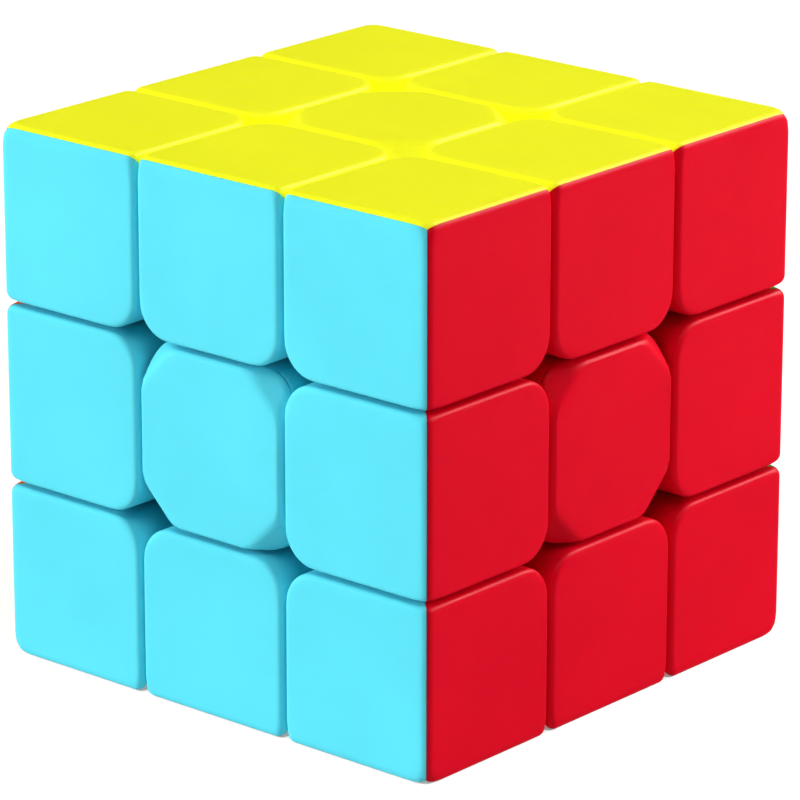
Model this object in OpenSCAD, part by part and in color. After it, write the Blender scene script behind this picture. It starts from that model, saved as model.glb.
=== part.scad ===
// Three-layer twisty puzzle cube with self-coloured plastic pieces.
//
// A six-armed core carries six centre pieces on sprung screws. Twelve edges and
// eight corners have feet that turn in a spherical track under the centres, so
// every face can turn about its own axis. Each cubie is moulded in parts of one
// colour that meet on the planes halfway between its coloured faces: an edge is
// two halves, a corner three thirds, a centre a base with a cap.
//
// The origin is the middle of the core, +Z is up through the yellow face, and
// the blue face looks along -Y. All sizes are in millimetres.

/* [Cube] */
// Side of the whole cube
cube_size = 56; // [55:0.5:58]
// Width of the middle layers
middle_layer = 19; // [18.6:0.1:19.4]
// Clearance between neighbouring pieces, which lets the layers turn
turning_gap = 0.4; // [0.25:0.05:0.5]
// Clearance where the coloured parts of one cubie meet
seam_gap = 0.05; // [0.04:0.01:0.08]

/* [Coloured shells] */
// Wall of the hollow shells
wall = 1.4; // [1.2:0.1:1.8]
// Radius of the cube's outer edges
rim_radius = 1; // [0.5:0.1:1.2]
// Radius of each corner that faces a centre piece
inner_radius = 3.6; // [3:0.2:4.4]
// Length cut off a cap's side at each corner by the bevel
bevel_cut = 4.6; // [4.2:0.1:5]
// Thickness of a centre cap's plate
cap_plate = 2.2; // [2:0.1:2.6]

/* [Feet] */
// Radius of the track that the feet turn in
track_radius = 20.2; // [19.8:0.1:20.6]
// Radius of the space that the feet leave around the core
well_radius = 11.5; // [11.4:0.1:12]
// Distance from the cube's middle to the feet's side planes
foot_plane = 5.2; // [5:0.1:5.6]

/* [Screws and springs] */
// Radius of the screw's shank
screw_radius = 1.25; // [1:0.05:1.5]
// Radius of the screw's head
head_radius = 2.5; // [2.2:0.1:2.8]
// Diameter of the spring's wire
spring_wire = 0.6; // [0.4:0.05:0.7]
// Number of open turns in each spring
spring_turns = 5; // [4:1:6]

/* [Hidden] */
$fn = 64;
far = 2 * cube_size;

// How far a cutter runs past what it cuts
past = 1;

half = cube_size / 2;
layer_plane = middle_layer / 2;
side_gap = turning_gap / 2;
cell_start = layer_plane + side_gap;
middle_half = layer_plane - side_gap;
foot_start = foot_plane + side_gap;
stem_radius = foot_plane - side_gap;

// A foot's tips are trimmed to a ball or a barrel around its own middle
foot_trim = 9.6;
foot_middle = 11.2;

// Round space that lightens an edge's neck
neck_hollow_radius = 3.8;
neck_hollow_middle = 14.6;

// Assembly pins, which stand on the seams in the feet
pin_radius = 0.9;
pin_fit = 0.05;
pin_length = 1.5;
pin_root = 1.5;
socket_depth = pin_length + 0.2;
corner_pin = [10.6, 7.6, 10.6];
edge_pin = [2.6, 10.4, 10.4];

// Core: a hub with six arms, each stepped down to a journal
hub_radius = 7;
arm_radius = 4.2;
journal_radius = 3;
journal_fit = 0.08;
stem_bottom = 9.9;
arm_shoulder = stem_bottom - 0.1;
floor_bottom = 11.5;
floor_top = 13;
journal_top = floor_bottom - 0.05;

// Screw, washers and spring, stacked up from the centre's floor
hole_fit = 0.05;
washer_radius = 3;
washer_thick = 0.4;
stack_gap = 0.02;
bore_radius = 3.3;
spring_height = 6.2;
spring_bottom = floor_top + washer_thick + 2 * stack_gap;
upper_washer = spring_bottom + spring_height + stack_gap;
head_bottom = upper_washer + washer_thick + stack_gap;
head_height = 1.6;
screw_length = 16;
screw_tip = 1.2;
thread_pitch = 1;
thread_depth = 0.2;

// One ridge of the thread: fractions of the pitch along the screw and of the depth out from its root
ridge = [[0.3, 0], [0.6, 1], [0.7, 1], [1, 0]];
recess = [0.7, 3, 0.9];

spring_radius = 2.35;
spring_sides = 6;
spring_steps = 10;
end_turns = 0.75;
end_pitch = spring_wire + 0.05;
open_pitch = (spring_height - spring_wire - 2 * end_turns * end_pitch) / spring_turns;

// Centre: the cap's spigot sits in a round pocket of the base
centre_radius = 3;
cap_bottom = half - cap_plate;
base_top = cap_bottom - seam_gap;
pocket_radius = 5.65;
pocket_depth = 3.4;
pocket_wall = 1.3;
spigot_radius = pocket_radius - 0.05;
spigot_length = 3;
spigot_wall = 1.1;
spigot_root = 0.5;

core_colour = [0.16, 0.16, 0.17];
zinc_colour = [0.75, 0.75, 0.77];
steel_colour = [0.62, 0.62, 0.64];

// Name, colour name, colour, turn that brings +Z to the face, and the indices
// of the faces that +Y, -X, -Y and +X then point to
faces = [
    ["top", "yellow", [0.93, 0.92, 0.12], [0, 0, 0], [3, 5, 2, 4]],
    ["bottom", "white", [0.95, 0.95, 0.95], [180, 0, 0], [2, 5, 3, 4]],
    ["front", "blue", [0.41, 0.92, 1], [90, 0, 0], [0, 5, 1, 4]],
    ["back", "green", [0.3, 0.85, 0.3], [-90, 0, 0], [1, 5, 0, 4]],
    ["right", "red", [0.9, 0.1, 0.16], [0, 90, 0], [3, 0, 2, 1]],
    ["left", "orange", [1, 0.5, 0.1], [0, -90, 0], [3, 1, 2, 0]],
];
quarters = [0, 1, 2, 3];

function face_name(i) = faces[i][0];
function centre_name(f) = str("centre_", face_name(f));

// The other face of the edge that quarter k of face f reaches
function across(f, k) = faces[f][4][k];

// A cubie is named after its faces in the order of the list above
function edge_name(f, k) =
    let (g = across(f, k))
    str("edge_", face_name(min(f, g)), "_", face_name(max(f, g)), "_", faces[f][1]);

function corner_name(f, k) =
    let (g = across(f, k), h = across(f, (k + 3) % 4))
    let (low = min(f, g, h), high = max(f, g, h))
    str("corner_", face_name(low), "_", face_name(f + g + h - low - high), "_",
        face_name(high), "_", faces[f][1]);

// ---- Shared shapes ----

// Moves what is made on +Z, with its edge or corner towards +Y, to quarter k of face f
module place(f, k = 0) {
    rotate(faces[f][3]) rotate([0, 0, 90 * k]) children();
}

// Extrudes an outline from start to end along x, y or z. The outline's own x and y
// become the two axes that follow in the order x, y, z, x, y.
module along(axis, start, end) {
    turn = axis == "x" ? [90, 0, 90] : axis == "y" ? [-90, -90, 0] : [0, 0, 0];
    rotate(turn) translate([0, 0, start]) linear_extrude(end - start) children();
}

// What a round corner takes off a square one: inward points into the outline
module round_off(corner, inward, radius) {
    if (radius > 0) {
        translate(corner) mirror([inward[0] < 0 ? 1 : 0, 0]) mirror([0, inward[1] < 0 ? 1 : 0])
            difference() {
                translate([-past, -past]) square(radius + past);
                translate([radius, radius]) circle(radius);
            }
    }
}

// A rectangle with its own radius at each corner: low-low, high-low, high-high, low-high
module outline(low, high, radii) {
    difference() {
        translate(low) square(high - low);
        round_off(low, [1, 1], radii[0]);
        round_off([high[0], low[1]], [-1, 1], radii[1]);
        round_off(high, [-1, -1], radii[2]);
        round_off([low[0], high[1]], [1, -1], radii[3]);
    }
}

// Everything past the seam plane between this face's part and the one on +X or +Y
module past_seam_x() {
    rotate([0, 45, 0]) translate([-seam_gap / 2, -far / 2, -far / 2]) cube(far);
}

module past_seam_y() {
    rotate([-45, 0, 0]) translate([-far / 2, -seam_gap / 2, -far / 2]) cube(far);
}

// A pin or its socket across a seam plane, from back to front of the plane
module seam_pin_x(at, radius, back, front) {
    translate(at) rotate([0, 135, 0]) translate([0, 0, -back]) cylinder(r = radius, h = back + front);
}

module seam_pin_y(at, radius, back, front) {
    translate(at) rotate([-135, 0, 0]) translate([0, 0, -back]) cylinder(r = radius, h = back + front);
}

module track_shell() {
    difference() {
        sphere(track_radius - side_gap);
        sphere(well_radius + side_gap);
    }
}

// ---- Corners ----

module corner_block() {
    radii = [inner_radius, rim_radius, rim_radius, rim_radius];
    intersection_for (axis = ["x", "y", "z"]) {
        along(axis, cell_start, half) outline([cell_start, cell_start], [half, half], radii);
    }
}

module corner_hollow() {
    low = cell_start + wall;
    round = inner_radius - wall;
    difference() {
        intersection_for (axis = ["x", "y", "z"]) {
            along(axis, low, half - wall)
                outline([low, low], [half - wall, half - wall], [round, 0, 0, 0]);
        }
        sphere(track_radius + wall);
    }
}

module corner_foot() {
    intersection() {
        translate([foot_start, foot_start, foot_start]) cube(half);
        translate([foot_middle, foot_middle, foot_middle]) sphere(foot_trim);
        track_shell();
    }
}

// The third of a corner that carries the +Z face, at +X +Y
module corner_third(colour) {
    socket_at = [corner_pin[1], corner_pin[0], corner_pin[2]];
    color(colour) {
        difference() {
            union() {
                difference() {
                    corner_block();
                    corner_hollow();
                }
                corner_foot();
            }
            past_seam_x();
            past_seam_y();
            seam_pin_y(socket_at, pin_radius + pin_fit, socket_depth, past);
        }
        seam_pin_x(corner_pin, pin_radius, pin_root, pin_length);
    }
}

// ---- Edges ----

module edge_block() {
    low = [-middle_half, cell_start];
    high = [middle_half, half];
    intersection() {
        along("z", cell_start, half)
            outline(low, high, [inner_radius, inner_radius, rim_radius, rim_radius]);
        along("y", cell_start, half)
            outline([low[1], low[0]], [high[1], high[0]],
                [inner_radius, rim_radius, rim_radius, inner_radius]);
        along("x", -middle_half, middle_half)
            outline([cell_start, cell_start], [half, half], [0, rim_radius, rim_radius, rim_radius]);
    }
}

module edge_hollow() {
    low = cell_start + wall;
    high = half - wall;
    wide = middle_half - wall;
    round = inner_radius - wall;
    difference() {
        intersection() {
            along("z", low, high) outline([-wide, low], [wide, high], [round, round, 0, 0]);
            along("y", low, high) outline([low, -wide], [high, wide], [round, 0, 0, round]);
        }
        sphere(track_radius + wall);
    }
}

// The neck joins the block to the foot through the gap between two corners
module edge_foot() {
    intersection() {
        translate([-stem_radius, foot_start, foot_start]) cube([2 * stem_radius, half, half]);
        along("x", -half, half) translate([foot_middle, foot_middle]) circle(foot_trim);
        track_shell();
    }
    intersection() {
        translate([-stem_radius, cell_start, cell_start]) cube([2 * stem_radius, half, half]);
        sphere(track_radius + wall);
    }
}

module neck_hollow() {
    along("x", -stem_radius + wall, stem_radius - wall)
        translate([neck_hollow_middle, neck_hollow_middle]) circle(neck_hollow_radius);
}

// The half of an edge that carries the +Z face, at +Y
module edge_half(colour) {
    socket_at = [-edge_pin[0], edge_pin[1], edge_pin[2]];
    color(colour) {
        difference() {
            union() {
                difference() {
                    edge_block();
                    sphere(track_radius + side_gap);
                    edge_hollow();
                }
                edge_foot();
            }
            neck_hollow();
            past_seam_y();
            seam_pin_y(socket_at, pin_radius + pin_fit, socket_depth, past);
        }
        seam_pin_y(edge_pin, pin_radius, pin_length, pin_root);
    }
}

// ---- Centres, made on +Z ----

module centre_outline(side = middle_half) {
    radii = [for (k = quarters) centre_radius];
    outline([-side, -side], [side, side], radii);
}

// Everything outside the bevel plane at the +X +Y corner
module bevel_cutter() {
    translate([middle_half, middle_half - bevel_cut, half]) rotate([0, 0, 45])
        rotate([0, -45, 0]) translate([0, -far / 2, -far / 2]) cube(far);
}

module centre_cap(colour) {
    color(colour) {
        difference() {
            translate([0, 0, cap_bottom]) linear_extrude(cap_plate) centre_outline();
            for (k = quarters) rotate([0, 0, 90 * k]) bevel_cutter();
        }
        translate([0, 0, cap_bottom - spigot_length]) difference() {
            cylinder(r = spigot_radius, h = spigot_length + spigot_root);
            translate([0, 0, -past])
                cylinder(r = spigot_radius - spigot_wall, h = spigot_length + past);
        }
    }
}

// Space around the pocket, which the cap closes
module centre_hollow() {
    side = middle_half - wall;
    round = centre_radius - wall;
    radii = [for (k = quarters) round];
    difference() {
        linear_extrude(half) outline([-side, -side], [side, side], radii);
        sphere(track_radius + wall);
        cylinder(r = pocket_radius + pocket_wall, h = half);
    }
}

module centre_base(colour) {
    color(colour) difference() {
        union() {
            difference() {
                linear_extrude(base_top) centre_outline();
                sphere(track_radius + side_gap);
                centre_hollow();
            }
            translate([-stem_radius, -stem_radius, stem_bottom])
                cube([2 * stem_radius, 2 * stem_radius, track_radius - stem_bottom]);
        }
        cylinder(r = journal_radius + journal_fit, h = floor_bottom);
        cylinder(r = screw_radius + hole_fit, h = half);
        translate([0, 0, floor_top]) cylinder(r = bore_radius, h = half);
        translate([0, 0, base_top - pocket_depth]) cylinder(r = pocket_radius, h = half);
    }
}

module centre(colour) {
    centre_base(colour);
    centre_cap(colour);
}

// ---- Core and hardware ----

module core() {
    color(core_colour) difference() {
        union() {
            sphere(hub_radius);
            for (f = [0:5]) place(f) {
                cylinder(r = arm_radius, h = arm_shoulder);
                cylinder(r = journal_radius, h = journal_top);
            }
        }
        for (f = [0:5]) place(f)
            translate([0, 0, head_bottom - screw_length - screw_tip])
                cylinder(r = screw_radius, h = half);
    }
}

// The threaded end is a row of ridges, one for each turn of the thread
module screw() {
    low = head_bottom - screw_length;
    ridges = floor((journal_top - low - screw_tip) / thread_pitch);
    root = screw_radius - thread_depth;
    profile = concat(
        [[0, low], [root / 2, low], [root, low + screw_tip]],
        [for (i = [0:ridges - 1], point = ridge)
            [root + point[1] * thread_depth, low + screw_tip + (i + point[0]) * thread_pitch]],
        [[screw_radius, low + screw_tip + (ridges + ridge[0][0]) * thread_pitch],
            [screw_radius, head_bottom], [head_radius, head_bottom],
            [head_radius, head_bottom + head_height], [0, head_bottom + head_height]]
    );
    color(zinc_colour) difference() {
        rotate_extrude() polygon(profile);
        for (turn = [0, 90]) rotate([0, 0, turn])
            translate([-recess[0] / 2, -recess[1] / 2, head_bottom + head_height - recess[2]])
                cube([recess[0], recess[1], 2 * recess[2]]);
    }
}

module washer_pair() {
    heights = [floor_top + stack_gap, upper_washer];
    color(zinc_colour) for (z = heights) translate([0, 0, z]) difference() {
        cylinder(r = washer_radius, h = washer_thick);
        translate([0, 0, -past]) cylinder(r = screw_radius + hole_fit, h = washer_thick + 2 * past);
    }
}

// Height of the wire's middle after a number of turns: closed ends, open coils between
function coil_height(turns) =
    spring_wire / 2 + end_pitch * (turns - coils_open(turns)) + open_pitch * coils_open(turns);

function coils_open(turns) = min(max(turns - end_turns, 0), spring_turns);

module spring() {
    rings = round((spring_turns + 2 * end_turns) * spring_steps);
    points = [for (i = [0:rings], j = [0:spring_sides - 1])
        let (turn = 360 * i / spring_steps, side = 360 * j / spring_sides)
        let (out = spring_radius + spring_wire / 2 * cos(side))
        let (height = coil_height(i / spring_steps) + spring_wire / 2 * sin(side))
        [out * cos(turn), out * sin(turn), height]];
    sides = [for (i = [0:rings - 1], j = [0:spring_sides - 1])
        let (a = i * spring_sides, k = (j + 1) % spring_sides)
        [a + j, a + spring_sides + j, a + spring_sides + k, a + k]];
    start = [for (j = [0:spring_sides - 1]) j];
    end = [for (j = [spring_sides - 1:-1:0]) rings * spring_sides + j];
    ends = [start, end];
    color(steel_colour) translate([0, 0, spring_bottom]) polyhedron(points, concat(sides, ends));
}

// ---- Assembly ----

core();
for (f = [0:5]) place(f) screw();  // screws
for (f = [0:5]) place(f) washer_pair();  // washers
for (f = [0:5]) place(f) spring();  // springs

for (f = [0:5]) {
    place(f) centre(faces[f][2]);
}

for (f = [0:5], k = quarters) {
    place(f, k) edge_half(faces[f][2]);
    place(f, k) corner_third(faces[f][2]);
}
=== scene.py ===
"""Looks of the three-layer twisty puzzle cube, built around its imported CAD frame.

Each coloured part is made once, on +Z, an edge half towards +Y and a corner
third towards +X and +Y, and is then turned to every face that has one. A part's
body is the surface where a few rounded half-spaces meet: the points of a grid
on its box slide inwards until they lie on that surface.
"""
from math import cos, pi, radians, sin, sqrt

import bmesh
import bpy
import numpy as np
from mathutils import Euler, Matrix, Vector


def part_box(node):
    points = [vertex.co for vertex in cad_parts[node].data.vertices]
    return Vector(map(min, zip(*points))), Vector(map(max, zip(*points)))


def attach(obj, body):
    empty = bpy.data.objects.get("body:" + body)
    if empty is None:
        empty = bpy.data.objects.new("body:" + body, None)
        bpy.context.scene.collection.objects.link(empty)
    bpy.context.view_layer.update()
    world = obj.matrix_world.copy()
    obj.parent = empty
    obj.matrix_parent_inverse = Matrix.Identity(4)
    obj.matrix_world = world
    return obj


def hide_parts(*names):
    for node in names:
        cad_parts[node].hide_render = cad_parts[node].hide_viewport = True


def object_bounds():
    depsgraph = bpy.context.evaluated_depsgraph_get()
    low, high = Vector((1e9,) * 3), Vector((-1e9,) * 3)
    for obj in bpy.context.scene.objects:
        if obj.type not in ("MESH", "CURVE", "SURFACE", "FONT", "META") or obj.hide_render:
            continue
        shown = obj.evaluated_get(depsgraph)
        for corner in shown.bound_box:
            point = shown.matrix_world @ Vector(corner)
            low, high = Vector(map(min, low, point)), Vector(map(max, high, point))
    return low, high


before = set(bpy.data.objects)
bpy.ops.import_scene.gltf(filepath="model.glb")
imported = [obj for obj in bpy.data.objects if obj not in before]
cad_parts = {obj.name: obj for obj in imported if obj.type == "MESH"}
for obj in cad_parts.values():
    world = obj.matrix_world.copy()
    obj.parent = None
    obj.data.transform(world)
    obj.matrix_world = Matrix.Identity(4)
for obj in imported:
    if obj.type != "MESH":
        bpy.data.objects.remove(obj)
cad_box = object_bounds()

# ---- Sizes, in millimetres ----
# Where a name ends in core, every point of that surface is in sight of the core

MM = 0.001
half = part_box("centre_top")[1].z / MM
foot_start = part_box("corner_top_back_right_yellow")[0].x / MM
turning_gap = 0.5
# How much further than in the CAD the pieces stand back from a gap
relief = 0.05
middle_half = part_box("centre_top")[1].x / MM - relief
seam_gap = 0.05
side_gap = turning_gap / 2
cell_start = middle_half + turning_gap
stem_radius = foot_start - turning_gap

# Shells
wall = 1.4
rim_radius = 1.0
vertex_radius = 1.6
lip_radius = 0.55
corner_lip = 0.65
corner_lip_reach = 5.0
rim_lip = 1.0
rim_lip_reach = 2.5
inner_radius = 3.6
hollow_round = 0.8
hollow_core = 24.5

# Feet, trimmed to a ball or barrel about foot_middle, and the necks that join the edges to theirs
track_radius = 20.2
well_radius = 11.5
foot_trim = 9.6
foot_middle = 11.2
foot_round = 0.35
corner_foot_core = 9.3
edge_foot_core = 10.6
neck_round = 0.25
neck_core = 13.0
neck_hollow_radius = 3.8
neck_hollow_middle = 14.6

# Pins and sockets between the colour parts of a cubie
pin_radius = 0.9
pin_fit = 0.05
pin_length = 1.5
pin_root = 1.5
pin_tip = 0.25
socket_depth = pin_length + 0.2
corner_pin = (10.6, 7.6, 10.6)
edge_pin = (2.6, 10.4, 10.4)

# Centre caps
cap_plate = 2.2
cap_bottom = half - cap_plate
centre_radius = 3.0
bevel_cut = 4.6
bevel_round = 0.45
spigot_fit = 0.05
spigot_length = 3.0
spigot_wall = 1.1
spigot_ease = 0.2
spigot_root = 0.1

# Centre bases
base_top = cap_bottom - seam_gap
base_bottom = 12.0
base_round = 0.2
pocket_radius = 5.65
pocket_depth = 3.4
pocket_wall = 1.3
spigot_radius = pocket_radius - spigot_fit
space_start = (2.0, 2.0, 14.0)
space_core = 24.0
space_core_inset = 1.6
stem_bottom = 9.9
stem_core = 15.0
stem_top = track_radius + side_gap + 0.5
journal_radius = 3.08
floor_bottom = 11.5
floor_top = 13.0
screw_hole_radius = 1.3
bore_radius = 3.3

# Springs
spring_wire = 0.6
spring_turns = 5
end_turns = 0.75
end_space = 0.05
spring_radius = 2.35
spring_height = 6.2
spring_bottom = 13.44

# How far a cut runs past the face that it opens
past = 1.0

# Fineness of the meshes, whose grid lines crowd towards the edges of a part's box
first_step = 0.1
step_growth = 1.28
edge_steps = 11
foot_divisions = 22
cap_layers = 12
base_layers = 24
centre_inset = 5.0
base_inset = 4.0
halvings = 32
round_sides = 48
ball_sides = 96
pin_sides = 24
wire_sides = 12
wire_steps = 36
sliver = 0.002
sharp_angle = 32

# Name, colour name, turn that brings +Z to the face, and the indices of the
# faces that +Y, -X, -Y and +X then point to
FACES = [
    ("top", "yellow", (0, 0, 0), (3, 5, 2, 4)),
    ("bottom", "white", (180, 0, 0), (2, 5, 3, 4)),
    ("front", "blue", (90, 0, 0), (0, 5, 1, 4)),
    ("back", "green", (-90, 0, 0), (1, 5, 0, 4)),
    ("right", "red", (0, 90, 0), (3, 0, 2, 1)),
    ("left", "orange", (0, -90, 0), (3, 1, 2, 0)),
]


def turn_to(face, quarter=0):
    """The turn from the place where a part is made to quarter of a face."""
    angles = [radians(a) for a in FACES[face][2]]
    return Euler(angles, "XYZ").to_matrix().to_4x4() @ Matrix.Rotation(quarter * pi / 2, 4, "Z")


# ---- Surfaces: signed distances in millimetres, below zero inside ----


def meet(distances, radius):
    """The space inside every one of distances, with the edges between them rounded."""
    d = np.stack(distances)
    over = np.maximum(d + radius, 0)
    return np.minimum(d.max(0), -radius) + np.sqrt((over**2).sum(0))


def ease(t):
    """A smooth step from 0 to 1 as t goes from 0 to 1."""
    t = np.clip(t, 0, 1)
    return t * t * (3 - 2 * t)


def reach(p):
    """Each point's distance from the cube's middle."""
    return np.sqrt((p**2).sum(1))


def lip(corner_distances, rim_distance):
    """Radius of the rounding along a coloured face: wider at the four-way holes and at the rim."""
    near_hole = np.max([ease(1 - d / corner_lip_reach) for d in corner_distances], axis=0)
    near_rim = ease(1 - rim_distance / rim_lip_reach)
    return lip_radius + (corner_lip - lip_radius) * near_hole + (rim_lip - lip_radius) * near_rim


def corner_surface(p):
    x, y, z = p.T
    nearest = np.sort(half - p, axis=1)
    rim = rim_radius + (vertex_radius - rim_radius) * ease(1 - nearest[:, 2] / rim_lip_reach)
    outer = meet([x - half, y - half, z - half], rim)
    inner = meet([cell_start - x, cell_start - y, cell_start - z], inner_radius)
    pairs = [np.hypot(p[:, i] - cell_start, p[:, j] - cell_start) for i, j in ((0, 1), (1, 2), (2, 0))]
    return meet([outer, inner], lip(pairs, nearest[:, 1]))


def edge_surface(p):
    x, y, z = p.T
    side = np.abs(x) - middle_half
    outer = meet([y - half, z - half], rim_radius)
    inner = meet([side, cell_start - y, cell_start - z], inner_radius)
    pairs = [np.hypot(side, y - cell_start), np.hypot(side, z - cell_start)]
    return meet([outer, inner], lip(pairs, np.maximum(half - y, half - z)))


def centre_walls(x, y):
    return meet([np.abs(x) - middle_half, np.abs(y) - middle_half], centre_radius)


def cap_surface(p):
    x, y, z = p.T
    body = meet([meet([z - half, centre_walls(x, y)], lip_radius), cap_bottom - z], base_round)
    bevel = (np.abs(x) + np.abs(y) - 2 * middle_half + bevel_cut) / 2 + (z - half) / sqrt(2)
    return meet([body, bevel], bevel_round)


def base_surface(p):
    x, y, z = p.T
    return meet([centre_walls(x, y), z - base_top, base_bottom - z], base_round)


def stem_surface(p):
    x, y, z = p.T
    sides = [np.abs(x) - stem_radius, np.abs(y) - stem_radius]
    return meet([*sides, z - stem_top, stem_bottom - z], neck_round)


def track(p):
    return meet([reach(p) - track_radius + side_gap, well_radius + side_gap - reach(p)], foot_round)


def corner_foot_surface(p):
    sides = meet([foot_start - p[:, i] for i in range(3)], foot_round)
    return meet([sides, reach(p - foot_middle) - foot_trim, track(p)], foot_round)


def edge_foot_surface(p):
    x, y, z = p.T
    sides = meet([np.abs(x) - stem_radius, foot_start - y, foot_start - z], foot_round)
    barrel = np.hypot(y - foot_middle, z - foot_middle) - foot_trim
    return meet([sides, barrel, track(p)], foot_round)


def neck_surface(p):
    x, y, z = p.T
    sides = [np.abs(x) - stem_radius, cell_start - y, cell_start - z]
    return meet([*sides, reach(p) - track_radius - wall], neck_round)


def neck_hollow_surface(p):
    x, y, z = p.T
    barrel = np.hypot(y - neck_hollow_middle, z - neck_hollow_middle) - neck_hollow_radius
    return meet([np.abs(x) - stem_radius + wall, barrel], foot_round)


def corner_hollow_surface(p):
    low, high = cell_start + wall, half - wall
    box = meet([low - p[:, i] for i in range(3)] + [p[:, i] - high for i in range(3)], hollow_round)
    return meet([box, track_radius + wall - reach(p)], hollow_round)


def edge_hollow_surface(p):
    x, y, z = p.T
    low, high = cell_start + wall, half - wall
    sides = [np.abs(x) - middle_half + wall, low - y, low - z, y - high, z - high]
    return meet([meet(sides, hollow_round), track_radius + wall - reach(p)], hollow_round)


def centre_hollow_surface(p):
    x, y = p[:, 0], p[:, 1]
    side = middle_half - wall
    walls = meet([np.abs(x) - side, np.abs(y) - side], centre_radius - wall)
    post = pocket_radius + pocket_wall - np.hypot(x, y)
    return meet([walls, track_radius + wall - reach(p), post], base_round)


# ---- Meshes ----


def new_object(name, data):
    made = bpy.data.objects.new(name, data)
    bpy.context.scene.collection.objects.link(made)
    return made


def object_from(name, points, faces):
    mesh = bpy.data.meshes.new(name)
    mesh.from_pydata([tuple(p) for p in points], [], faces)
    return new_object(name, mesh)


def crowded(low, high):
    """Grid lines from low to high that crowd towards both ends, with two in the flat middle."""
    steps = np.concatenate([[0], np.cumsum(first_step * step_growth ** np.arange(edge_steps))])
    inner = np.linspace(low + steps[-1], high - steps[-1], 4)[1:-1]
    return np.concatenate([low + steps, inner, (high - steps)[::-1]])


def even(low, high):
    return np.linspace(low, high, foot_divisions + 1)


def box_grid(lines):
    """Points and quads on the surface of a box, along the given grid lines of each axis."""
    index, points, quads = {}, [], []

    def vertex(p):
        key = tuple(np.round(p, 5))
        if key not in index:
            index[key] = len(points)
            points.append(p)
        return index[key]

    for axis in range(3):
        u, v = (axis + 1) % 3, (axis + 2) % 3
        for end in (0, -1):
            for i in range(len(lines[u]) - 1):
                for j in range(len(lines[v]) - 1):
                    quad = []
                    for di, dj in ((0, 0), (1, 0), (1, 1), (0, 1)):
                        p = [0.0, 0.0, 0.0]
                        p[axis], p[u], p[v] = lines[axis][end], lines[u][i + di], lines[v][j + dj]
                        quad.append(vertex(tuple(p)))
                    quads.append(quad if end else quad[::-1])
    return np.array(points), quads


def shrink(name, surface, lines, core_low, core_high):
    """A closed mesh of a surface: each point of a box grid slides in towards the core box."""
    points, quads = box_grid(lines)
    start = np.clip(points, core_low, core_high)
    low, high = np.zeros(len(points)), np.ones(len(points))
    for _ in range(halvings):
        middle = (low + high) / 2
        outside = surface(start + (points - start) * middle[:, None]) > 0
        high = np.where(outside, middle, high)
        low = np.where(outside, low, middle)
    return object_from(name, start + (points - start) * high[:, None], quads)


def rounded_block(name, surface, low, high):
    """A mesh of a block-shaped surface, dense along its edges."""
    low, high = np.array(low, float), np.array(high, float)
    lines = [crowded(a, b) for a, b in zip(low, high)]
    inset = first_step * (step_growth**edge_steps - 1) / (step_growth - 1)
    return shrink(name, surface, lines, low + inset, high - inset)


def even_block(name, surface, low, high, core):
    """A mesh of a surface that can be seen whole from the point core."""
    lines = [even(a, b) for a, b in zip(low, high)]
    return shrink(name, surface, lines, np.array(core, float), np.array(core, float))


def centre_block(name, surface, bottom, top, layers, inset):
    """A mesh of a centre piece's surface between two heights, dense along its upright edges."""
    sides = crowded(-middle_half, middle_half)
    core = middle_half - centre_inset
    lines = [sides, sides, np.linspace(bottom, top, layers + 1)]
    return shrink(name, surface, lines, (-core, -core, bottom + inset), (core, core, top - inset))


def turned(name, profile, sides=round_sides):
    """A solid of revolution about +Z from (radius, height) points, from its foot to its top."""
    around = [(cos(2 * pi * s / sides), sin(2 * pi * s / sides)) for s in range(sides)]
    points, faces, rings = [], [], []
    for radius, height in profile:
        if radius == 0:
            rings.append([len(points)] * sides)
            points.append((0, 0, height))
            continue
        rings.append(list(range(len(points), len(points) + sides)))
        points += [(radius * x, radius * y, height) for x, y in around]
    for low, high in zip(rings, rings[1:]):
        for s in range(sides):
            t = (s + 1) % sides
            faces.append(list(dict.fromkeys((low[s], low[t], high[t], high[s]))))
    return object_from(name, points, faces)


def rod(name, radius, low, high, tip=0.0, sides=round_sides):
    """A round bar along +Z, with its upper rim eased off by tip."""
    profile = [(0, low), (radius, low), (radius, high - tip)]
    if tip:
        angles = (pi / 6, pi / 3, pi / 2)
        profile += [(radius - tip * (1 - cos(a)), high - tip + tip * sin(a)) for a in angles]
    return turned(name, [*profile, (0, high)], sides)


def ball(name, radius):
    """A ball about the cube's middle."""
    steps = ball_sides // 2
    profile = [(radius * sin(pi * i / steps), -radius * cos(pi * i / steps)) for i in range(1, steps)]
    return turned(name, [(0, -radius), *profile, (0, radius)], ball_sides)


def block(name, low, high):
    points = [(x, y, z) for x in (low[0], high[0]) for y in (low[1], high[1]) for z in (low[2], high[2])]
    faces = [(0, 1, 3, 2), (4, 6, 7, 5), (0, 4, 5, 1), (2, 3, 7, 6), (0, 2, 6, 4), (1, 5, 7, 3)]
    return object_from(name, points, faces)


def moved(made, matrix):
    made.data.transform(matrix)
    return made


def combine(made, operation, *others):
    """Adds or takes away the others, which are used up."""
    for other in others:
        step = made.modifiers.new("step", "BOOLEAN")
        step.operation, step.solver, step.object = operation, "MANIFOLD", other
    flatten(made)
    for other in others:
        bpy.data.meshes.remove(other.data)
    return made


def flatten(made):
    """Applies every modifier."""
    bpy.context.view_layer.update()
    graph = bpy.context.evaluated_depsgraph_get()
    mesh = bpy.data.meshes.new_from_object(made.evaluated_get(graph), depsgraph=graph)
    old = made.data
    made.modifiers.clear()
    made.data = mesh
    bpy.data.meshes.remove(old)


def add(made, *others):
    return combine(made, "UNION", *others)


def take(made, *others):
    return combine(made, "DIFFERENCE", *others)


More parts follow.
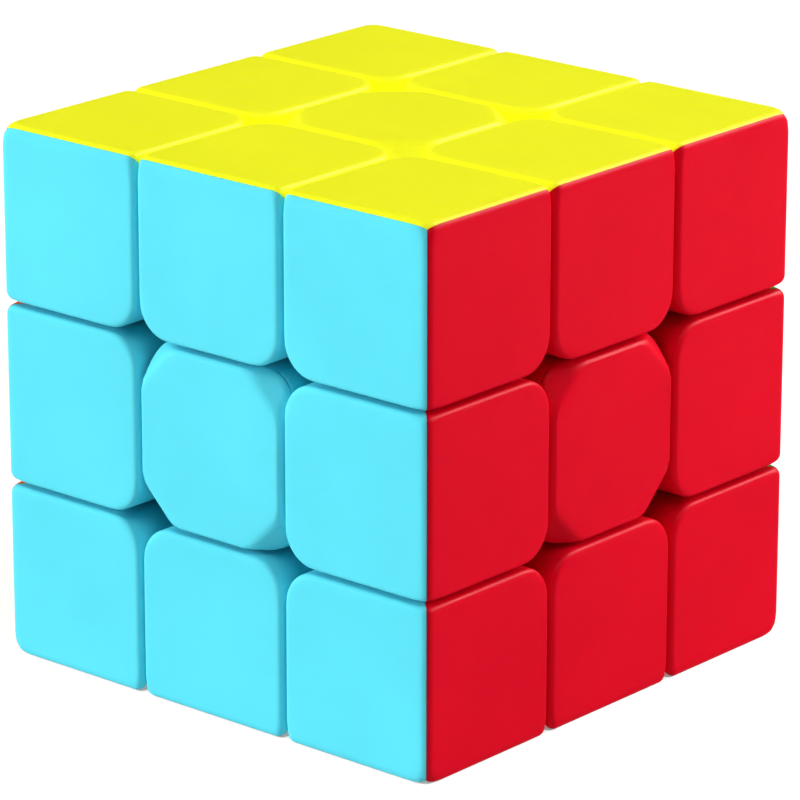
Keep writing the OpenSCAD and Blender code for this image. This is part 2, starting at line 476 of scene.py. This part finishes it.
def join_ends(made):
    """Closes a turned ring on itself, with its faces outwards."""
    work = bmesh.new()
    work.from_mesh(made.data)
    bmesh.ops.remove_doubles(work, verts=work.verts, dist=sliver / 20)
    bmesh.ops.recalc_face_normals(work, faces=work.faces)
    work.to_mesh(made.data)
    work.free()


def finish_mesh(made):
    """Merges slivers, keeps moulded edges sharp and flat faces flat in shading."""
    work = bmesh.new()
    work.from_mesh(made.data)
    bmesh.ops.remove_doubles(work, verts=work.verts, dist=sliver)
    bmesh.ops.dissolve_degenerate(work, edges=work.edges, dist=sliver / 2)
    work.to_mesh(made.data)
    work.free()
    made.data.shade_smooth()
    made.data.set_sharp_from_angle(angle=radians(sharp_angle))
    soft = made.modifiers.new("soft", "WEIGHTED_NORMAL")
    soft.keep_sharp = True
    flatten(made)
    return made


# ---- Parts, made on +Z ----


def seam_turn(axis):
    """Turns +Z to the normal of the seam plane on +X or +Y."""
    angle = 3 * pi / 4
    return Matrix.Rotation(angle, 4, "Y") if axis == "x" else Matrix.Rotation(-angle, 4, "X")


def beyond_seam(axis):
    """Everything past the plane halfway between +Z and +X or +Y."""
    far = 4 * half
    slab = block("beyond", (-far / 2, -far / 2, -seam_gap / 2), (far / 2, far / 2, far))
    return moved(slab, seam_turn(axis))


def seam_rod(axis, at, radius, back, front, tip=0.0):
    """A round bar square to a seam plane at a point of it, reaching back and front of the plane."""
    pin = rod("pin", radius, -back, front, tip, pin_sides)
    return moved(pin, Matrix.Translation(at) @ seam_turn(axis))


def socket(at):
    """The hole for a pin that comes in through the seam on +Y."""
    return seam_rod("y", at, pin_radius + pin_fit, socket_depth, past)


def corner_third():
    low, high = (cell_start,) * 3, (half,) * 3
    made = rounded_block("corner_third", corner_surface, low, high)
    take(made, even_block("hollow", corner_hollow_surface, low, high, (hollow_core,) * 3))
    foot_low, foot_high = (foot_start,) * 3, (foot_middle + foot_trim,) * 3
    add(made, even_block("foot", corner_foot_surface, foot_low, foot_high, (corner_foot_core,) * 3))
    along, across, up = corner_pin
    take(made, beyond_seam("x"), beyond_seam("y"), socket((across, along, up)))
    add(made, seam_rod("x", corner_pin, pin_radius, pin_root, pin_length, pin_tip))
    return finish_mesh(made)


def edge_half():
    low, high = (-middle_half, cell_start, cell_start), (middle_half, half, half)
    made = rounded_block("edge_half", edge_surface, low, high)
    hollow = even_block("hollow", edge_hollow_surface, low, high, (0, hollow_core, hollow_core))
    take(made, ball("track", track_radius + side_gap), hollow)
    add(made, edge_foot(), neck())
    along, across, up = edge_pin
    take(made, neck_hollow(), beyond_seam("y"), socket((-along, across, up)))
    return finish_mesh(add(made, seam_rod("y", edge_pin, pin_radius, pin_length, pin_root)))


def edge_foot():
    low = (-stem_radius, foot_start, foot_start)
    high = (stem_radius, foot_middle + foot_trim, foot_middle + foot_trim)
    return even_block("foot", edge_foot_surface, low, high, (0, edge_foot_core, edge_foot_core))


def neck():
    low = (-stem_radius, cell_start, cell_start)
    high = (stem_radius, track_radius + wall, track_radius + wall)
    return even_block("neck", neck_surface, low, high, (0, neck_core, neck_core))


def neck_hollow():
    low = neck_hollow_middle - neck_hollow_radius
    high = neck_hollow_middle + neck_hollow_radius
    side = stem_radius - wall
    middle = (0, neck_hollow_middle, neck_hollow_middle)
    return even_block("space", neck_hollow_surface, (-side, low, low), (side, high, high), middle)


def centre_cap():
    made = centre_block("centre_cap", cap_surface, cap_bottom, half, cap_layers, cap_plate / 2)
    return finish_mesh(add(made, spigot()))


def spigot():
    """The ring under a centre cap, which clips into the base's pocket."""
    foot, root = cap_bottom - spigot_length, cap_bottom + spigot_root
    inner = spigot_radius - spigot_wall
    made = turned("spigot", [
        (inner, root),
        (inner, foot + spigot_ease),
        (inner + spigot_ease, foot),
        (spigot_radius - spigot_ease, foot),
        (spigot_radius, foot + spigot_ease),
        (spigot_radius, root),
        (inner, root),
    ])
    join_ends(made)
    return made


def centre_base():
    made = centre_block("centre_base", base_surface, base_bottom, base_top, base_layers, base_inset)
    take(made, ball("track", track_radius + side_gap))
    for quarter in range(4):
        take(made, centre_space(quarter))
    low, high = (-stem_radius, -stem_radius, stem_bottom), (stem_radius, stem_radius, stem_top)
    add(made, even_block("stem", stem_surface, low, high, (0, 0, stem_core)))
    take(made,
         rod("journal", journal_radius, stem_bottom - past, floor_bottom),
         rod("screw_hole", screw_hole_radius, floor_bottom - past, floor_top + past),
         rod("bore", bore_radius, floor_top, half),
         rod("pocket", pocket_radius, base_top - pocket_depth, half))
    return finish_mesh(made)


def centre_space(quarter):
    """The space in one corner of a centre base, between its walls and its round pocket."""
    side = middle_half - wall
    core = (side - space_core_inset, side - space_core_inset, space_core)
    made = even_block("space", centre_hollow_surface, space_start, (side, side, base_top + past), core)
    return moved(made, Matrix.Rotation(quarter * pi / 2, 4, "Z"))


def spring_wound():
    """One compression spring with closed ends, its wire swept along the coil."""
    end_pitch = spring_wire + end_space
    open_pitch = (spring_height - spring_wire - 2 * end_turns * end_pitch) / spring_turns
    rings = int((spring_turns + 2 * end_turns) * wire_steps)
    points, faces = [], []
    for i in range(rings + 1):
        turns = i / wire_steps
        opened = min(max(turns - end_turns, 0), spring_turns)
        height = spring_bottom + spring_wire / 2 + end_pitch * (turns - opened) + open_pitch * opened
        for j in range(wire_sides):
            side = 2 * pi * j / wire_sides
            out = spring_radius + spring_wire / 2 * cos(side)
            up = height + spring_wire / 2 * sin(side)
            points.append((out * cos(2 * pi * turns), out * sin(2 * pi * turns), up))
    for i in range(rings):
        ring, after = i * wire_sides, (i + 1) * wire_sides
        for j in range(wire_sides):
            k = (j + 1) % wire_sides
            faces.append((ring + j, after + j, after + k, ring + k))
    faces.append(tuple(range(wire_sides)))
    faces.append(tuple(rings * wire_sides + j for j in reversed(range(wire_sides))))
    return finish_mesh(object_from("spring_wound", points, faces))


# ---- Materials ----

# Colour of each plastic, how much light passes into it and the strength of a painted glow in its own
# colour, which keeps its seams and holes bright where shade falls
PLASTIC = {
    "yellow": ((0.89, 0.90, 0.014), 0.5, 0.28),
    "white": ((0.84, 0.84, 0.82), 0.3, 0.0),
    "blue": ((0.115, 0.73, 0.87), 0.15, 0.0),
    "green": ((0.03, 0.52, 0.06), 0.15, 0.0),
    "red": ((0.74, 0.001, 0.016), 0.15, 0.0),
    "orange": ((0.86, 0.16, 0.006), 0.3, 0.05),
}


def mapped(tree, value, low, high, ends=(0, 1)):
    """A value moved from the range between ends to the range from low to high."""
    made = tree.nodes.new("ShaderNodeMapRange")
    for name, number in zip(("From Min", "From Max", "To Min", "To Max"), (*ends, low, high)):
        made.inputs[name].default_value = number
    tree.links.new(value, made.inputs["Value"])
    return made.outputs["Result"]


class Finish:
    """A node material, with the kinds of node that the finishes here share."""

    def __init__(self, name):
        self.material = bpy.data.materials.new(name)
        self.material.use_nodes = True
        self.tree = self.material.node_tree
        self.nodes, self.links = self.tree.nodes, self.tree.links
        self.shader = self.nodes["Principled BSDF"]
        self.coordinates = self.nodes.new("ShaderNodeTexCoord").outputs["Object"]

    def set(self, values):
        for name, value in values.items():
            self.shader.inputs[name].default_value = value

    def noise(self, scale, detail):
        made = self.nodes.new("ShaderNodeTexNoise")
        made.inputs["Scale"].default_value = scale
        made.inputs["Detail"].default_value = detail
        self.links.new(self.coordinates, made.inputs["Vector"])
        return made.outputs["Fac"]

    def uneven(self, scale, detail, low, high):
        """A noise whose middle part runs from low to high."""
        return mapped(self.tree, self.noise(scale, detail), low, high, ends=(0.3, 0.7))

    def tint(self, colour, value):
        """Gives the shader a colour that value lightens and darkens."""
        made = self.nodes.new("ShaderNodeHueSaturation")
        made.inputs["Color"].default_value = (*colour, 1)
        self.links.new(value, made.inputs["Value"])
        self.links.new(made.outputs["Color"], self.shader.inputs["Base Color"])

    def roughen(self, value):
        self.links.new(value, self.shader.inputs["Roughness"])

    def emboss(self, height, strength, depth):
        """Gives the shader a fine relief, depth millimetres deep."""
        made = self.nodes.new("ShaderNodeBump")
        made.inputs["Strength"].default_value = strength
        made.inputs["Distance"].default_value = depth * MM
        self.links.new(height, made.inputs["Height"])
        self.links.new(made.outputs["Normal"], self.shader.inputs["Normal"])


def moulded_plastic(name, colour, depth, glow):
    """Satin ABS: a cloudy tint, a fine spark-eroded grain, slightly uneven gloss and a painted glow in
    its own colour, as strong as glow, which brightens its seams and holes in shade.
    """
    finish = Finish(name)
    finish.set({
        "Specular IOR Level": 0.06,
        # Emission in the plastic's own colour is a painted glow, not a lamp: it lifts the shade in seams
        # and holes
        "Emission Color": (*colour, 1),
        "Emission Strength": glow,
        "Subsurface Weight": depth,
        "Subsurface Radius": (1.0, 1.0, 1.0),
        "Subsurface Scale": 1.0 * MM,
    })
    finish.tint(colour, finish.uneven(scale=70, detail=3, low=0.965, high=1.03))
    finish.roughen(finish.uneven(scale=350, detail=4, low=0.36, high=0.46))
    grain = finish.noise(scale=7000, detail=2)
    ripple = finish.noise(scale=120, detail=1)
    heights = finish.nodes.new("ShaderNodeMath")
    heights.operation = "MULTIPLY_ADD"
    # The ripple counts for eight times as much as the grain
    heights.inputs[1].default_value = 8.0
    finish.links.new(ripple, heights.inputs[0])
    finish.links.new(grain, heights.inputs[2])
    finish.emboss(heights.outputs["Value"], strength=0.25, depth=0.012)
    return finish.material


def core_plastic():
    """Black nylon with a matte moulded grain."""
    finish = Finish("core_nylon")
    finish.tint((0.022, 0.022, 0.024), finish.uneven(scale=400, detail=3, low=0.8, high=1.2))
    finish.roughen(finish.uneven(scale=600, detail=4, low=0.5, high=0.65))
    finish.emboss(finish.noise(scale=4000, detail=3), strength=0.4, depth=0.02)
    return finish.material


def mottled_steel(name, colour, rough_low, rough_high):
    """Plated or drawn steel, with a mottled finish and a fine grain."""
    finish = Finish(name)
    finish.set({"Metallic": 1.0})
    finish.tint(colour, finish.uneven(scale=900, detail=4, low=0.85, high=1.1))
    finish.roughen(finish.uneven(scale=1800, detail=5, low=rough_low, high=rough_high))
    finish.emboss(finish.noise(scale=6000, detail=4), strength=0.3, depth=0.01)
    return finish.material


def floor_paper():
    """White paper, which the camera sees brighter than the cube does."""
    finish = Finish("paper_floor")
    finish.set({"Specular IOR Level": 0.0, "Roughness": 0.9, "Emission Color": (1, 1, 1, 1)})
    seen = finish.nodes.new("ShaderNodeLightPath").outputs["Is Camera Ray"]
    glow_on_cube, glow_in_view = 0.1, 0.7
    glow = mapped(finish.tree, seen, glow_on_cube, glow_in_view)
    finish.links.new(glow, finish.shader.inputs["Emission Strength"])
    finish.tint((0.6, 0.6, 0.6), finish.uneven(scale=200, detail=3, low=0.995, high=1.005))
    return finish.material


# ---- Putting the cube together ----


def put(pattern, name, turn, body, material, slot, *nodes):
    """A copy of a part turned to its place, which rides on its body and stands for its CAD nodes."""
    mesh = pattern.data.copy()
    mesh.name = name
    mesh.transform(Matrix.Scale(MM, 4) @ turn)
    mesh.materials.clear()
    mesh.materials.append(material)
    made = new_object(name, mesh)
    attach(made, body)
    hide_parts(*nodes)


def cubie_name(kind, *faces):
    return "_".join([kind, *(FACES[f][0] for f in sorted(faces))])


def build_cube():
    corner, edge, cap, base = corner_third(), edge_half(), centre_cap(), centre_base()
    coil = spring_wound()
    steel = mottled_steel("spring_wire_steel", (0.55, 0.55, 0.57), 0.22, 0.36)
    for f, (face, colour, _, around) in enumerate(FACES):
        plastic = moulded_plastic(f"{colour}_abs", *PLASTIC[colour])
        slot = f"{colour}_plastic"
        centre = f"centre_{face}"
        put(cap, f"{centre}_cap", turn_to(f), centre, plastic, slot, centre)
        put(base, f"{centre}_base", turn_to(f), centre, plastic, slot, centre)
        put(coil, f"spring_{face}", turn_to(f), "core", steel, "spring_steel", "springs")
        for quarter in range(4):
            beside, before = around[quarter], around[(quarter + 3) % 4]
            turn = turn_to(f, quarter)
            cubie = cubie_name("edge", f, beside)
            node = f"{cubie}_{colour}"
            put(edge, f"{node}_shell", turn, cubie, plastic, slot, node)
            cubie = cubie_name("corner", f, beside, before)
            node = f"{cubie}_{colour}"
            put(corner, f"{node}_shell", turn, cubie, plastic, slot, node)
    for pattern in (corner, edge, cap, base, coil):
        bpy.data.objects.remove(pattern)


def dress_cad_nodes():
    """Better materials for the CAD nodes that stay: core, screws and washers."""
    zinc = mottled_steel("zinc_plate", (0.62, 0.63, 0.65), 0.25, 0.42)
    for node, material in (("core", core_plastic()), ("screws", zinc), ("washers", zinc)):
        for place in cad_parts[node].material_slots:
            place.material = material


# ---- Stage ----


def build_floor():
    """A wide floor just under the cube, clear enough of it not to flicker against its lowest face."""
    side, drop = 4.0, 0.05 * MM
    corners = [(-side, -side, 0), (side, -side, 0), (side, side, 0), (-side, side, 0)]
    plane = object_from("floor", corners, [(0, 1, 2, 3)])
    plane.location.z = cad_box[0][2] - drop
    plane.data.materials.append(floor_paper())
    plane.visible_glossy = False


def direction(azimuth, elevation):
    """Unit vector towards an azimuth, where 0 is the front and +X is at 90, and an elevation."""
    a, e = radians(azimuth), radians(elevation)
    return Vector((sin(a) * cos(e), -cos(a) * cos(e), sin(e)))


def soft_box(name, azimuth, elevation, distance, size, power, gloss=True, colour=True):
    """A square light aimed at the cube, which shows in its gloss, lights its colour, or both."""
    light = bpy.data.lights.new(name, "AREA")
    light.shape = "SQUARE"
    light.size = size
    light.energy = power
    made = new_object(name, light)
    made.visible_glossy = gloss
    made.visible_diffuse = colour
    made.location = direction(azimuth, elevation) * distance
    made.rotation_euler = (-made.location).to_track_quat("-Z", "Y").to_euler()


def build_lights():
    soft_box("left_box", azimuth=-45, elevation=12, distance=1.2, size=0.5, power=15.4, gloss=False)
    soft_box("right_box", azimuth=142, elevation=15, distance=0.45, size=0.18, power=2.05, gloss=False)
    soft_box("overhead", azimuth=41, elevation=60, distance=1.2, size=0.5, power=4.3)
    soft_box("sheen", azimuth=157, elevation=38, distance=1.2, size=0.8, power=36, colour=False)


def build_world():
    """Even white light all round, which gloss sees as a dim studio."""
    world = bpy.data.worlds.new("studio")
    bpy.context.scene.world = world
    world.use_nodes = True
    tree = world.node_tree
    in_gloss = tree.nodes.new("ShaderNodeLightPath").outputs["Is Glossy Ray"]
    light, light_in_gloss = 0.08, 0.05
    background = tree.nodes["Background"]
    background.inputs["Color"].default_value = (1, 1, 1, 1)
    tree.links.new(mapped(tree, in_gloss, light, light_in_gloss), background.inputs["Strength"])


def build_camera():
    azimuth, elevation, roll = 40.951, 18.099, 0.015
    distance, right_shift, up_shift = 0.50243, 0.000237, -0.001667
    focal_pixels, frame_pixels, sensor = 4968.6, 800, 36.0
    lens = bpy.data.cameras.new("camera")
    lens.sensor_width = sensor
    lens.lens = focal_pixels / frame_pixels * sensor
    lens.clip_start, lens.clip_end = 0.01, 50
    made = new_object("camera", lens)
    back = direction(azimuth, elevation)
    right = Vector((cos(radians(azimuth)), sin(radians(azimuth)), 0))
    up = back.cross(right)
    place = back * distance + right * right_shift + up * up_shift
    turn = Matrix((right, up, back)).transposed() @ Matrix.Rotation(radians(roll), 3, "Z")
    made.matrix_world = Matrix.Translation(place) @ turn.to_4x4()
    bpy.context.scene.camera = made


build_cube()
dress_cad_nodes()
build_floor()
build_lights()
build_world()
build_camera()
bpy.context.scene.view_settings.view_transform = "Standard"
